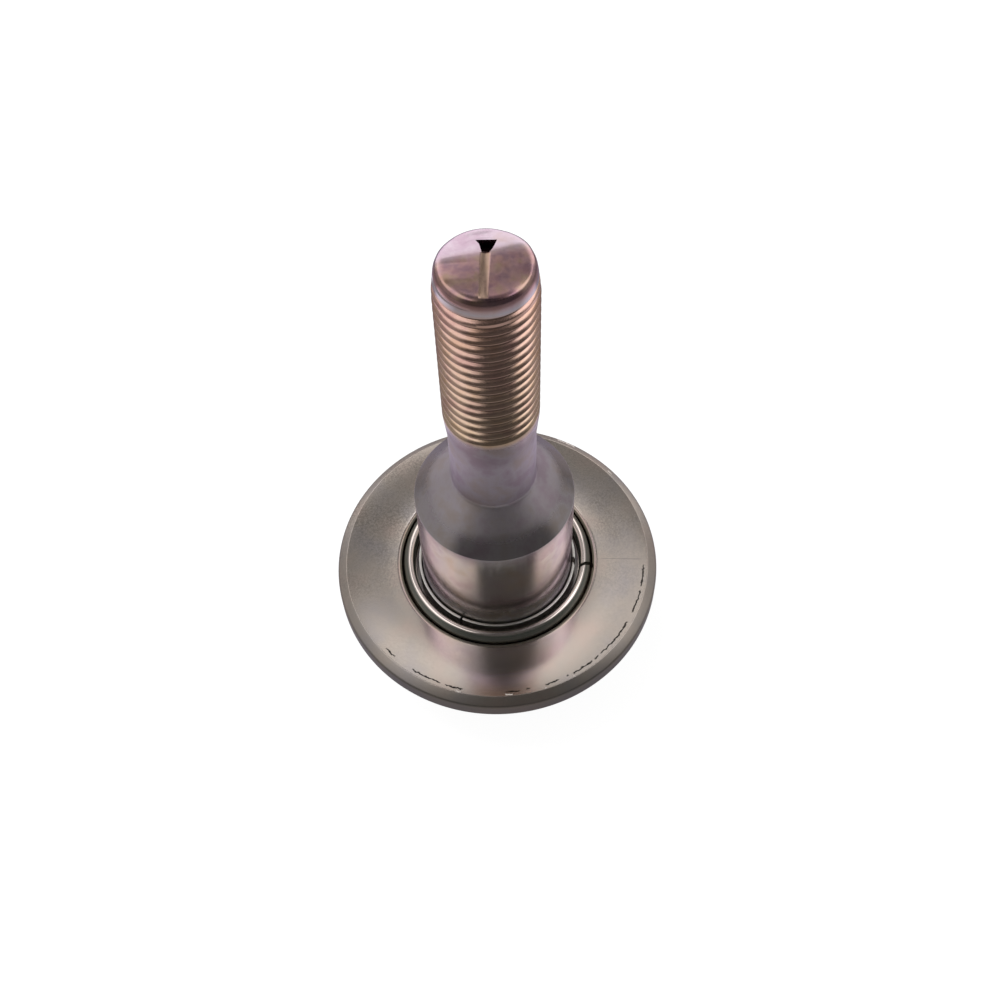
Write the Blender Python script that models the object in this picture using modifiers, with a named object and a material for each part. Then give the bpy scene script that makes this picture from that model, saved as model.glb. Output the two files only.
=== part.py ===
"""Oil cooler bolt: a shouldered bolt with a rolled thread, and a captive disc that turns on it.

Metres, +Z up. The bolt stands on its hexagon head with the thread up. The origin is the centre of
the head's end face, and +Z runs along the bolt to its tip.
"""

import math

import bmesh
import bpy
from mathutils import Matrix, Vector

MM = 0.001

# Fit between pieces that touch or run on each other
SEAT_GAP = 0.3 * MM

# Hexagon head, 27 mm across its flats, with a bearing face that carries the disc round its bore
HEAD_HEIGHT = 10.0 * MM
HEAD_CHAMFER_ANGLE = math.radians(30.0)
HEAD_END_FACE_SHARE = 0.95
BEARING_FACE_WIDTH = 1.0 * MM
BEARING_FACE_HEIGHT = 0.5 * MM
FLATS_PAST_BEARING_FACE = 0.7 * MM

# Lengths along the bolt, from the bearing face under the head
BOLT_LENGTH = 68.0 * MM
SHANK_LENGTH = 22.0 * MM
THREAD_LENGTH = 26.7 * MM
RUN_OUT_LENGTH = 4.5 * MM

# Diameters along the bolt
SHANK_DIAMETER = 21.5 * MM
NECK_DIAMETER = 11.2 * MM
THREAD_DIAMETER = 12.0 * MM

# Shoulder between shank and neck
SHOULDER_ANGLE = math.radians(45.0)
SHOULDER_LEDGE = 0.9 * MM
SHOULDER_FILLET = 0.8 * MM
SHANK_EDGE_ROUND = 0.3 * MM

# Rounded tip above the thread
TIP_FACE_DIAMETER = 10.1 * MM
TIP_CHAMFER_HEIGHT = 3.4 * MM
TIP_ROUND = 2.0 * MM

# Sixty degree thread, right hand
THREAD_PITCH = 1.5 * MM
THREAD_FLANK_ANGLE = math.radians(30.0)
THREAD_DEPTH_PER_PITCH = 0.6134
THREAD_CREST_FLAT_PER_PITCH = 0.125
THREAD_FADE_TURNS_AT_NECK = 1.6
THREAD_FADE_TURNS_AT_TIP = 0.9
THREAD_PLAIN_TIP = 2.4 * MM
THREAD_START_ANGLE = math.radians(-62.0)
THREAD_LEAST_DEPTH_SHARE = 0.02

# Mark pressed into the end of the tip: a keyhole with its pit towards +Y
MARK_GROOVE_WIDTH = 1.1 * MM
MARK_GROOVE_DEPTH = 0.25 * MM
MARK_GROOVE_REACH = 4.1 * MM
MARK_PIT_DEPTH = 0.9 * MM
MARK_PIT_NEAR = 2.2 * MM
MARK_PIT_FAR = 4.0 * MM
MARK_PIT_NEAR_WIDTH = 1.3 * MM
MARK_PIT_FAR_WIDTH = 1.9 * MM

# Captive disc
DISC_DIAMETER = 46.4 * MM
DISC_THICKNESS = 3.5 * MM
DISC_EDGE_WIDTH = 1.3 * MM
DISC_EDGE_HEIGHT = 0.95 * MM
DISC_CORNER_ROUND = 0.3 * MM
DISC_UNDER_ROUND = 0.5 * MM
RECESS_DEPTH = 1.5 * MM
RECESS_MOUTH_ROUND = 0.4 * MM

# Split bush between shank and disc
BUSH_WALL = 0.45 * MM
BUSH_STAND_OUT = 0.3 * MM
BUSH_GAP = 0.7 * MM
BUSH_GAP_ANGLE = math.radians(-118.7)

# Lock ring, a split ring of round wire in the disc's recess
WIRE_DIAMETER = 1.8 * MM
RING_WALL_GAP = 0.8 * MM
RING_GAP = 0.6 * MM
RING_GAP_ANGLE = math.radians(-10.0)

# Fineness of the round shapes
ROUND_STEPS = 48
THREAD_STEPS = 28
RING_STEPS = 64
WIRE_RESOLUTION = 3
ARC_STEPS = 4
MERGE_DISTANCE = 0.01 * MM
CUT_OVERRUN = 0.5 * MM

# Sizes worked out from the ones above
SHANK_RADIUS = SHANK_DIAMETER / 2
NECK_RADIUS = NECK_DIAMETER / 2
THREAD_RADIUS = THREAD_DIAMETER / 2
BEARING_Z = HEAD_HEIGHT + BEARING_FACE_HEIGHT
TIP_Z = BEARING_Z + BOLT_LENGTH
SHANK_TOP_Z = BEARING_Z + SHANK_LENGTH
THREAD_BOTTOM_Z = TIP_Z - THREAD_LENGTH
DISC_BOTTOM_Z = BEARING_Z + SEAT_GAP
DISC_TOP_Z = DISC_BOTTOM_Z + DISC_THICKNESS
RECESS_FLOOR_Z = DISC_TOP_Z - RECESS_DEPTH
BUSH_INNER_RADIUS = SHANK_RADIUS + SEAT_GAP
BUSH_OUTER_RADIUS = BUSH_INNER_RADIUS + BUSH_WALL
DISC_BORE_RADIUS = BUSH_OUTER_RADIUS + SEAT_GAP
WIRE_RADIUS = WIRE_DIAMETER / 2
RING_RADIUS = BUSH_OUTER_RADIUS + SEAT_GAP + WIRE_RADIUS
RING_Z = RECESS_FLOOR_Z + SEAT_GAP + WIRE_RADIUS
RECESS_RADIUS = RING_RADIUS + WIRE_RADIUS + RING_WALL_GAP
BEARING_FACE_RADIUS = DISC_BORE_RADIUS + BEARING_FACE_WIDTH
HEAD_INNER_RADIUS = BEARING_FACE_RADIUS + FLATS_PAST_BEARING_FACE


def clear_scene():
    for obj in list(bpy.data.objects):
        bpy.data.objects.remove(obj, do_unlink=True)


def new_collection(name):
    collection = bpy.data.collections.new(name)
    bpy.context.scene.collection.children.link(collection)
    return collection


def metal(name, colour, roughness):
    """A metal finish as a Principled BSDF."""
    material = bpy.data.materials.new(name)
    material.use_nodes = True
    shader = material.node_tree.nodes["Principled BSDF"]
    shader.inputs["Base Color"].default_value = (*colour, 1.0)
    shader.inputs["Metallic"].default_value = 1.0
    shader.inputs["Roughness"].default_value = roughness
    material.diffuse_color = (*colour, 1.0)
    return material


def rounded_outline(corners):
    """The points of an outline through (radius, height, corner round), each corner as an arc."""
    points = []
    for index, (radius, height, rounding) in enumerate(corners):
        corner = Vector((radius, height))
        if rounding == 0.0:
            points.append(corner)
            continue
        before = Vector(corners[index - 1][:2]) - corner
        after = Vector(corners[(index + 1) % len(corners)][:2]) - corner
        half_angle = before.angle(after) / 2
        reach = rounding / math.tan(half_angle)
        inwards = (before.normalized() + after.normalized()).normalized()
        centre = corner + inwards * rounding / math.sin(half_angle)
        start = corner + before.normalized() * reach - centre
        end = corner + after.normalized() * reach - centre
        swept = start.angle_signed(end)
        for step in range(ARC_STEPS + 1):
            turn = Matrix.Rotation(-swept * step / ARC_STEPS, 2)
            points.append(centre + turn @ start)
    return points


def turned(name, corners, collection, closed=False):
    """A solid turned round Z from an outline that runs down its outer side."""
    points = rounded_outline(corners)
    edges = [(index, index + 1) for index in range(len(points) - 1)]
    if closed:
        edges.append((len(points) - 1, 0))
    mesh = bpy.data.meshes.new(name)
    mesh.from_pydata([(x, 0.0, z) for x, z in points], edges, [])
    obj = bpy.data.objects.new(name, mesh)
    collection.objects.link(obj)
    screw = obj.modifiers.new("Turn", "SCREW")
    screw.axis = "Z"
    screw.steps = ROUND_STEPS
    screw.render_steps = ROUND_STEPS
    screw.use_merge_vertices = True
    screw.merge_threshold = MERGE_DISTANCE
    screw.use_smooth_shade = True
    return obj


def mesh_object(name, bm, collection):
    mesh = bpy.data.meshes.new(name)
    bm.to_mesh(mesh)
    bm.free()
    obj = bpy.data.objects.new(name, mesh)
    collection.objects.link(obj)
    return obj


def boolean(obj, other, operation):
    """Joins or cuts obj with a helper object, which is then left out of renders."""
    modifier = obj.modifiers.new(f"{operation.title()} {other.name}", "BOOLEAN")
    modifier.operation = operation
    modifier.solver = "EXACT"
    modifier.object = other
    other.hide_render = True
    other.display_type = "WIRE"


def finish(obj, material):
    """Shading that keeps the large faces flat beside the round ones, and the object's own material."""
    normals = obj.modifiers.new("Weighted normals", "WEIGHTED_NORMAL")
    normals.keep_sharp = True
    obj.data.materials.append(material)


def evaluated_bmesh(obj):
    """The shape that obj has with its modifiers or its bevel."""
    bpy.context.view_layer.update()
    graph = bpy.context.evaluated_depsgraph_get()
    evaluated = obj.evaluated_get(graph)
    bm = bmesh.new()
    bm.from_mesh(evaluated.to_mesh())
    evaluated.to_mesh_clear()
    return bm


def replace_with(obj, bm, collection):
    """Puts a plain mesh in the place of obj, under its name."""
    name, place = obj.name, obj.matrix_world.copy()
    bpy.data.objects.remove(obj, do_unlink=True)
    solid = mesh_object(name, bm, collection)
    solid.matrix_world = place
    return solid


def head_prism(cutters):
    """The hexagon, with the corners of its end face turned off."""
    corner_radius = HEAD_INNER_RADIUS / math.cos(math.pi / 6)
    bm = bmesh.new()
    bmesh.ops.create_cone(
        bm, cap_ends=True, segments=6, radius1=corner_radius, radius2=corner_radius, depth=HEAD_HEIGHT
    )
    bmesh.ops.translate(bm, verts=bm.verts, vec=(0.0, 0.0, HEAD_HEIGHT / 2))
    prism = mesh_object("head_prism", bm, cutters)
    face_radius = HEAD_END_FACE_SHARE * HEAD_INNER_RADIUS
    chamfer_radius = corner_radius + CUT_OVERRUN
    chamfer_height = (chamfer_radius - face_radius) * math.tan(HEAD_CHAMFER_ANGLE)
    envelope = turned(
        "head_envelope",
        [
            (0.0, HEAD_HEIGHT + CUT_OVERRUN, 0.0),
            (chamfer_radius, HEAD_HEIGHT + CUT_OVERRUN, 0.0),
            (chamfer_radius, chamfer_height, 0.0),
            (face_radius, 0.0, 0.0),
            (0.0, 0.0, 0.0),
        ],
        cutters,
    )
    boolean(prism, envelope, "INTERSECT")
    return prism


def thread_cutter(cutters):
    """The helical groove between the thread's crests, closed at both ends."""
    depth = THREAD_DEPTH_PER_PITCH * THREAD_PITCH
    overrun = depth / 16
    groove_half = (1 - THREAD_CREST_FLAT_PER_PITCH) * THREAD_PITCH / 2
    root_half = groove_half - depth * math.tan(THREAD_FLANK_ANGLE)
    mouth_half = groove_half + overrun * math.tan(THREAD_FLANK_ANGLE)
    root, mouth = THREAD_RADIUS - depth, THREAD_RADIUS + overrun
    start = Matrix.Rotation(THREAD_START_ANGLE, 3, "Z")
    corners = [(mouth, -mouth_half), (root, -root_half), (root, root_half), (mouth, mouth_half)]
    mesh = bpy.data.meshes.new("thread_groove")
    mesh.from_pydata([start @ Vector((r, 0.0, z)) for r, z in corners], [(0, 1), (1, 2), (2, 3), (3, 0)], [])
    groove = bpy.data.objects.new("thread_groove", mesh)
    cutters.objects.link(groove)
    groove.location.z = THREAD_BOTTOM_Z + mouth_half
    turns = round((THREAD_LENGTH - THREAD_PLAIN_TIP - mouth_half) / THREAD_PITCH)
    screw = groove.modifiers.new("Wind", "SCREW")
    screw.axis = "Z"
    screw.steps = THREAD_STEPS
    screw.render_steps = THREAD_STEPS
    screw.iterations = turns
    screw.screw_offset = THREAD_PITCH
    bm = evaluated_bmesh(groove)
    fade_thread_ends(bm, len(corners), turns, mouth)
    bmesh.ops.holes_fill(bm, edges=bm.edges, sides=len(corners))
    bmesh.ops.recalc_face_normals(bm, faces=bm.faces)
    return replace_with(groove, bm, cutters)


def fade_thread_ends(bm, corner_count, turns, mouth):
    """Makes the groove shallow at its ends, where the thread runs out of the bolt."""
    for index, vertex in enumerate(bm.verts):
        turn = (index // corner_count) / THREAD_STEPS
        at_neck = turn / THREAD_FADE_TURNS_AT_NECK
        at_tip = (turns - turn) / THREAD_FADE_TURNS_AT_TIP
        share = max(THREAD_LEAST_DEPTH_SHARE, min(1.0, at_neck, at_tip))
        radius = math.hypot(vertex.co.x, vertex.co.y)
        scale = (mouth - (mouth - radius) * share) / radius
        vertex.co.x *= scale
        vertex.co.y *= scale


def prism_down(name, outline, depth, cutters):
    """A cutter that reaches depth below the tip's end face, over an outline of (x, y) points."""
    bm = bmesh.new()
    floor = bm.faces.new([bm.verts.new((x, y, TIP_Z - depth)) for x, y in outline])
    sides = bmesh.ops.extrude_face_region(bm, geom=[floor])
    raised = [item for item in sides["geom"] if isinstance(item, bmesh.types.BMVert)]
    bmesh.ops.translate(bm, verts=raised, vec=(0.0, 0.0, depth + CUT_OVERRUN))
    bmesh.ops.recalc_face_normals(bm, faces=bm.faces)
    return mesh_object(name, bm, cutters)


def make_bolt(parts, cutters):
    """One forged piece: head, bearing face, shank, shoulder, neck, rolled thread and rounded tip."""
    ledge_radius = NECK_RADIUS + SHOULDER_LEDGE
    shoulder_top = SHANK_TOP_Z + (SHANK_RADIUS - ledge_radius) * math.tan(SHOULDER_ANGLE)
    bolt = turned(
        "bolt",
        [
            (0.0, TIP_Z, 0.0),
            (TIP_FACE_DIAMETER / 2, TIP_Z, TIP_ROUND),
            (THREAD_RADIUS, TIP_Z - TIP_CHAMFER_HEIGHT, 0.0),
            (THREAD_RADIUS, THREAD_BOTTOM_Z, 0.0),
            (NECK_RADIUS, THREAD_BOTTOM_Z - RUN_OUT_LENGTH, 0.0),
            (NECK_RADIUS, shoulder_top + SHOULDER_LEDGE, SHOULDER_FILLET),
            (ledge_radius, shoulder_top, 0.0),
            (SHANK_RADIUS, SHANK_TOP_Z, SHANK_EDGE_ROUND),
            (SHANK_RADIUS, BEARING_Z, 0.0),
            (BEARING_FACE_RADIUS, BEARING_Z, 0.0),
            (BEARING_FACE_RADIUS, HEAD_HEIGHT / 2, 0.0),
            (0.0, HEAD_HEIGHT / 2, 0.0),
        ],
        parts,
    )
    groove_half = MARK_GROOVE_WIDTH / 2
    mark_groove = prism_down(
        "mark_groove",
        [
            (-groove_half, -MARK_GROOVE_REACH),
            (groove_half, -MARK_GROOVE_REACH),
            (groove_half, MARK_PIT_FAR - CUT_OVERRUN),
            (-groove_half, MARK_PIT_FAR - CUT_OVERRUN),
        ],
        MARK_GROOVE_DEPTH,
        cutters,
    )
    mark_pit = prism_down(
        "mark_pit",
        [
            (-MARK_PIT_NEAR_WIDTH / 2, MARK_PIT_NEAR),
            (MARK_PIT_NEAR_WIDTH / 2, MARK_PIT_NEAR),
            (MARK_PIT_FAR_WIDTH / 2, MARK_PIT_FAR),
            (-MARK_PIT_FAR_WIDTH / 2, MARK_PIT_FAR),
        ],
        MARK_PIT_DEPTH,
        cutters,
    )
    boolean(bolt, head_prism(cutters), "UNION")
    boolean(bolt, thread_cutter(cutters), "DIFFERENCE")
    boolean(bolt, mark_groove, "DIFFERENCE")
    boolean(bolt, mark_pit, "DIFFERENCE")
    return bolt


def make_disc(parts):
    """The captive disc: a thick washer with a bevelled rim and a recess round its bore."""
    disc_radius = DISC_DIAMETER / 2
    return turned(
        "captive_disc",
        [
            (disc_radius - DISC_EDGE_WIDTH, DISC_TOP_Z, 0.0),
            (disc_radius, DISC_TOP_Z - DISC_EDGE_HEIGHT, DISC_CORNER_ROUND),
            (disc_radius, DISC_BOTTOM_Z, DISC_UNDER_ROUND),
            (DISC_BORE_RADIUS, DISC_BOTTOM_Z, 0.0),
            (DISC_BORE_RADIUS, RECESS_FLOOR_Z, 0.0),
            (RECESS_RADIUS, RECESS_FLOOR_Z, 0.0),
            (RECESS_RADIUS, DISC_TOP_Z, RECESS_MOUTH_ROUND),
        ],
        parts,
        closed=True,
    )


def make_bush(parts, cutters):
    """A rolled strip round the shank, open at one side, which the disc turns on."""
    top = DISC_TOP_Z + BUSH_STAND_OUT
    bush = turned(
        "split_bush",
        [
            (BUSH_OUTER_RADIUS, top, 0.0),
            (BUSH_OUTER_RADIUS, DISC_BOTTOM_Z, 0.0),
            (BUSH_INNER_RADIUS, DISC_BOTTOM_Z, 0.0),
            (BUSH_INNER_RADIUS, top, 0.0),
        ],
        parts,
        closed=True,
    )
    height = top - DISC_BOTTOM_Z + 2 * CUT_OVERRUN
    bm = bmesh.new()
    bmesh.ops.create_cube(bm, size=1.0)
    bmesh.ops.scale(bm, verts=bm.verts, vec=(BUSH_WALL + 2 * CUT_OVERRUN, BUSH_GAP, height))
    middle = ((BUSH_INNER_RADIUS + BUSH_OUTER_RADIUS) / 2, 0.0, (top + DISC_BOTTOM_Z) / 2)
    bmesh.ops.translate(bm, verts=bm.verts, vec=middle)
    bmesh.ops.rotate(bm, verts=bm.verts, cent=(0.0, 0.0, 0.0), matrix=Matrix.Rotation(BUSH_GAP_ANGLE, 3, "Z"))
    boolean(bush, mesh_object("bush_slot", bm, cutters), "DIFFERENCE")
    return bush


def make_lock_ring(parts):
    """A round wire bent to a ring that stops short of a full turn."""
    half_gap = (RING_GAP / 2) / RING_RADIUS
    curve = bpy.data.curves.new("lock_ring", "CURVE")
    curve.dimensions = "3D"
    curve.bevel_depth = WIRE_RADIUS
    curve.bevel_resolution = WIRE_RESOLUTION
    curve.use_fill_caps = True
    spline = curve.splines.new("POLY")
    spline.points.add(RING_STEPS)
    for index, point in enumerate(spline.points):
        angle = RING_GAP_ANGLE + half_gap + (math.tau - 2 * half_gap) * index / RING_STEPS
        point.co = (RING_RADIUS * math.cos(angle), RING_RADIUS * math.sin(angle), 0.0, 1.0)
    ring = bpy.data.objects.new("lock_ring", curve)
    parts.objects.link(ring)
    ring.location.z = RING_Z
    bm = evaluated_bmesh(ring)
    bmesh.ops.remove_doubles(bm, verts=bm.verts, dist=MERGE_DISTANCE)
    ring = replace_with(ring, bm, parts)
    ring.data.shade_smooth()
    return ring


def main():
    clear_scene()
    parts = new_collection("oil_cooler_bolt")
    cutters = new_collection("cutters")
    finish(make_bolt(parts, cutters), metal("passivated_zinc_bolt", (0.42, 0.34, 0.30), 0.32))
    finish(make_disc(parts), metal("passivated_zinc_disc", (0.45, 0.38, 0.33), 0.42))
    finish(make_bush(parts, cutters), metal("bright_spring_strip", (0.55, 0.50, 0.45), 0.30))
    finish(make_lock_ring(parts), metal("bright_ring_wire", (0.60, 0.56, 0.52), 0.25))


main()
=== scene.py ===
"""Looks of the oil cooler bolt: a plated shoulder bolt with a rolled thread, on which a disc turns.

Metres, +Z up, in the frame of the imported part. The bolt stands on its hexagon head.
"""

import math

import bmesh
import bpy
from mathutils import Matrix, Vector


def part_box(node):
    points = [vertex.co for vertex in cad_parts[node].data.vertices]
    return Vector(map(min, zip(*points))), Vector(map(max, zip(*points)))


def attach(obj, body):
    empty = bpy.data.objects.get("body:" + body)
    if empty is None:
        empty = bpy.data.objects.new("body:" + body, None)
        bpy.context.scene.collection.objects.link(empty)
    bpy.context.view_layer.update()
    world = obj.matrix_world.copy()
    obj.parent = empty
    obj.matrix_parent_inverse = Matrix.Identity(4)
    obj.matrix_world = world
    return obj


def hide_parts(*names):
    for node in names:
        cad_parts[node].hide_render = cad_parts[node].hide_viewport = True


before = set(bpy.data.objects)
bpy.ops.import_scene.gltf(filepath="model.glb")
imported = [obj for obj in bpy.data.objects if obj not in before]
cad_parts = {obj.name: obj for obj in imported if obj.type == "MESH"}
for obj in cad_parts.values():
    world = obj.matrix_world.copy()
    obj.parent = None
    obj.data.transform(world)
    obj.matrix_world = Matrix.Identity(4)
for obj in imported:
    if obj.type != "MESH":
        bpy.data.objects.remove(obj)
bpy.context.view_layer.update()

MM = 0.001
BOLT_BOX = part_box("bolt")
DISC_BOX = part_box("captive_disc")
BUSH_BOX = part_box("split_bush")
RING_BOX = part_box("lock_ring")

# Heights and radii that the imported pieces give
TIP_Z = BOLT_BOX[1].z
DISC_RADIUS = DISC_BOX[1].x
DISC_TOP_Z = DISC_BOX[1].z
DISC_BOTTOM_Z = DISC_BOX[0].z
BUSH_TOP_Z = BUSH_BOX[1].z
BUSH_RADIUS = BUSH_BOX[1].y
RING_TOP_Z = RING_BOX[1].z
RING_BOTTOM_Z = RING_BOX[0].z
RING_OUTER_RADIUS = RING_BOX[1].y
SEAT_GAP = 0.3 * MM

# Hexagon head and bearing face
HEAD_HEIGHT = 10.0 * MM
HEAD_INNER_RADIUS = 13.5 * MM
HEAD_CHAMFER_ANGLE = math.radians(30.0)
HEAD_END_FACE_SHARE = 0.95
HEAD_CORNER_ROUND = 0.5 * MM
HEAD_FACE_ROUND = 0.2 * MM
BEARING_Z = DISC_BOTTOM_Z - SEAT_GAP
BEARING_FACE_RADIUS = 12.8 * MM
BEARING_FACE_ROUND = 0.15 * MM

# Shank, shoulder, neck and thread
SHANK_RADIUS = 10.75 * MM
SHANK_TOP_Z = BEARING_Z + 22.0 * MM
SHANK_EDGE_ROUND = 0.06 * MM
NECK_RADIUS = 5.6 * MM
SHOULDER_ANGLE = math.radians(45.0)
SHOULDER_LEDGE = 0.9 * MM
SHOULDER_FILLET = 0.8 * MM
SHOULDER_EDGE_ROUND = 0.1 * MM
RUN_OUT_LENGTH = 4.5 * MM
RUN_OUT_ROUND = 0.5 * MM
THREAD_RADIUS = 6.0 * MM
THREAD_BOTTOM_Z = TIP_Z - 26.7 * MM
THREAD_PITCH = 1.5 * MM
THREAD_FLANK_ANGLE = math.radians(30.0)
THREAD_CREST_WIDTH = 0.3 * MM
THREAD_CREST_SLOPE = math.radians(25.0)
THREAD_CREST_REACH = 0.28 * MM
THREAD_ROOT_REACH = 0.5 * MM
THREAD_TURNS = 18
THREAD_END_TURN = 17.3
THREAD_START_ANGLE = math.radians(-62.0)
THREAD_DROP = 0.9 * MM
THREAD_FADE_AT_NECK = 0.9
THREAD_FADE_AT_TIP = 0.8
THREAD_FAINTEST = 0.02
THREAD_LIFT = 0.012 * MM

# Domed tip and the mark pressed into it
TIP_CREASE_RADIUS = 5.62 * MM
TIP_CREASE_DROP = 1.25 * MM
TIP_DOME_POWER = 24
TIP_DOME_SHARE = 0.8
TIP_DOME_RINGS = 26
TIP_BAND_RADIUS = 5.72 * MM
TIP_BAND_DROP = 1.95 * MM
TIP_BAND_ROUND = 0.2 * MM
TIP_LEAD_DROP = 4.5 * MM
TIP_TILT = math.tan(math.radians(7.5))
TIP_TILT_REACH = 2.6 * MM
TIP_TILT_EASE = 0.4 * MM
TIP_TILT_AT_LEFT = 0.6 * MM
TIP_TILT_AT_MARK = 1.2 * MM
TIP_TILT_AT_RIGHT = 2.8 * MM
TIP_LEFT_FALL = math.tan(math.radians(4.0))
TIP_LEFT_REACH = 2.2 * MM
MARK_TURN = math.radians(-4.0)
MARK_GROOVE_WIDTH = 1.1 * MM
MARK_GROOVE_DEPTH = 0.09 * MM
MARK_GROOVE_REACH = 4.9 * MM
MARK_GROOVE_CUTS = 20
MARK_PIT_DEPTH = 1.3 * MM
MARK_PIT_NEAR = 1.2 * MM
MARK_PIT_SLOPE = 1.6 * MM
MARK_PIT_FAR = 3.2 * MM
MARK_PIT_NEAR_WIDTH = 0.8 * MM
MARK_PIT_FAR_WIDTH = 2.35 * MM

# Captive disc
DISC_EDGE_WIDTH = 1.3 * MM
DISC_EDGE_HEIGHT = 0.95 * MM
DISC_TOP_ROUND = 0.06 * MM
DISC_CORNER_ROUND = 0.3 * MM
DISC_UNDER_ROUND = 0.5 * MM
DISC_BORE_RADIUS = BUSH_RADIUS + SEAT_GAP
RECESS_RADIUS = RING_OUTER_RADIUS + 0.15 * MM
RECESS_FLOOR_Z = RING_BOTTOM_Z - SEAT_GAP
RECESS_FLOOR_ROUND = 0.2 * MM
RECESS_MOUTH_ROUND = 0.9 * MM
# Painted shade: how much the rim's side and the bevel's upper edge are darkened
RIM_SHADE = 0.5
BEVEL_SHADE = 0.72
KNOCK_RADIUS = 21.25 * MM

# Bearings in degrees, from and to, of the dark knocks along the front rim
RIM_KNOCKS = [
    (-138.7, -134.3), (-125.8, -113.5), (-111.6, -104.8), (-89.3, -83.4), (-80.9, -79.7), (-73.7, -68.0),
    (-65.0, -64.0), (-62.0, -53.4), (-52.3, -50.6), (-48.9, -32.1), (-27.7, -17.7), (-15.5, -6.5),
]

# Bright nicks: bearing from and to in degrees, and radius; and one faint scratch
RIM_NICKS = [
    (-107.2, -105.4, 21.7 * MM), (-89.0, -86.4, 21.7 * MM), (-74.5, -73.8, 21.7 * MM),
    (-62.9, -62.2, 21.7 * MM), (37.4, 39.6, 22.4 * MM), (56.5, 64.0, 22.8 * MM),
]
SCRATCH_BEARING = -3.7
SCRATCH_FROM = 15.0 * MM
SCRATCH_TO = 20.8 * MM
SCRATCH_DEPTH = 0.25

# Split bush and lock ring
BUSH_INNER_RADIUS = SHANK_RADIUS + 0.2 * MM
BUSH_OUTER_RADIUS = 11.35 * MM
BUSH_EDGE_ROUND = 0.12 * MM
BUSH_GAP = 0.35 * MM
BUSH_GAP_ANGLE = math.radians(-118.7)
RING_Z = (RING_TOP_Z + RING_BOTTOM_Z) / 2
RING_INNER_RADIUS = 11.95 * MM
RING_CREST_RADIUS = 12.3 * MM
RING_SHOULDER_RADIUS = 12.75 * MM
RING_SHOULDER_DROP = 0.025 * MM
RING_INNER_DROP = 0.6 * MM
RING_INNER_ROUND = 0.25 * MM
RING_SIDE_DROP = 0.1 * MM
RING_SIDE_ROUND = 0.3 * MM
RING_FOOT = 0.1 * MM
RING_FOOT_INSET = 0.1 * MM
RING_ROUND = 0.2 * MM
# Painted highlight: how far below the ring's top its pale crest colour reaches
RING_HIGHLIGHT_DEPTH = 0.12 * MM
RING_GAP = 0.55 * MM
RING_GAP_TIP = (11.8 * MM, math.radians(-11.9))
RING_GAP_INNER = (10.9 * MM, math.radians(-4.0))
RING_GAP_OUTER = (14.0 * MM, math.radians(-5.5))

# Fineness
TURNED_STEPS = 192
RIM_STEPS = 540
THREAD_STEPS = 112
WIRE_STEPS = 256
MARK_STEPS = 96
SMOOTH_ANGLE = 32
RING_SMOOTH_ANGLE = 40
MERGE = 0.002 * MM
OVERRUN = 0.5 * MM


def deselect():
    if bpy.context.object and bpy.context.object.mode != "OBJECT":
        bpy.ops.object.mode_set(mode="OBJECT")
    bpy.ops.object.select_all(action="DESELECT")


def activate(obj):
    deselect()
    obj.select_set(True)
    bpy.context.view_layer.objects.active = obj


def edit(obj):
    """Opens obj for editing with nothing in it selected, and returns its bmesh."""
    activate(obj)
    bpy.ops.object.mode_set(mode="EDIT")
    bpy.ops.mesh.select_mode(type="VERT")
    bpy.ops.mesh.select_all(action="DESELECT")
    return bmesh.from_edit_mesh(obj.data)


def select_vertices(obj, wanted):
    bm = bmesh.from_edit_mesh(obj.data)
    for vertex in bm.verts:
        vertex.select = wanted(vertex.co)
    bm.select_flush(True)
    bm.select_flush(False)
    bmesh.update_edit_mesh(obj.data)


def apply_modifier(obj, name, kind, **settings):
    activate(obj)
    modifier = obj.modifiers.new(name, kind)
    for key, value in settings.items():
        setattr(modifier, key, value)
    bpy.ops.object.modifier_apply(modifier=modifier.name)


def draw_outline(name, corners, closed, segments=8):
    """A line in the XZ plane through (radius, height, round) corners, each rounded as it says."""
    deselect()
    bpy.ops.mesh.primitive_plane_add(size=MM)
    obj = bpy.context.object
    obj.name = name
    bpy.ops.object.mode_set(mode="EDIT")
    bpy.ops.mesh.select_all(action="SELECT")
    bpy.ops.mesh.merge(type="CENTER")
    bpy.ops.transform.translate(value=(corners[0][0], 0.0, corners[0][1]))
    path = corners + corners[:1] if closed else corners
    for (radius, height, _), (next_radius, next_height, _) in zip(path, path[1:]):
        step = (next_radius - radius, 0.0, next_height - height)
        bpy.ops.mesh.extrude_vertices_move(TRANSFORM_OT_translate={"value": step})
    bpy.ops.mesh.select_all(action="SELECT")
    bpy.ops.mesh.remove_doubles(threshold=MERGE)
    for radius, height, rounding in corners:
        if rounding:
            corner = Vector((radius, 0.0, height))
            select_vertices(obj, lambda co: (co - corner).length < 2 * MERGE)
            bpy.ops.mesh.bevel(offset=rounding, segments=segments, affect="VERTICES")
    return obj


def turned(name, corners, closed=False, steps=TURNED_STEPS):
    """A solid turned about the bolt's axis from its outline."""
    obj = draw_outline(name, corners, closed)
    apply_modifier(
        obj, "Turn", "SCREW", axis="Z", steps=steps, render_steps=steps,
        use_merge_vertices=True, merge_threshold=MERGE, use_smooth_shade=True,
    )
    face_outwards(obj)
    return obj


def face_outwards(obj):
    edit(obj)
    bpy.ops.mesh.select_all(action="SELECT")
    bpy.ops.mesh.normals_make_consistent(inside=False)
    deselect()


def combine(obj, other, operation):
    """Joins, cuts or trims obj with a helper, which is then deleted."""
    apply_modifier(obj, operation.title(), "BOOLEAN", operation=operation, solver="EXACT", object=other)
    bpy.data.objects.remove(other, do_unlink=True)


def smooth(obj, degrees):
    activate(obj)
    bpy.ops.object.shade_smooth_by_angle(angle=math.radians(degrees))


def corner_reach(rounding, angle):
    """How far along its sides a corner of this angle is cut back for a given radius."""
    return rounding / math.tan(angle / 2)


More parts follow.
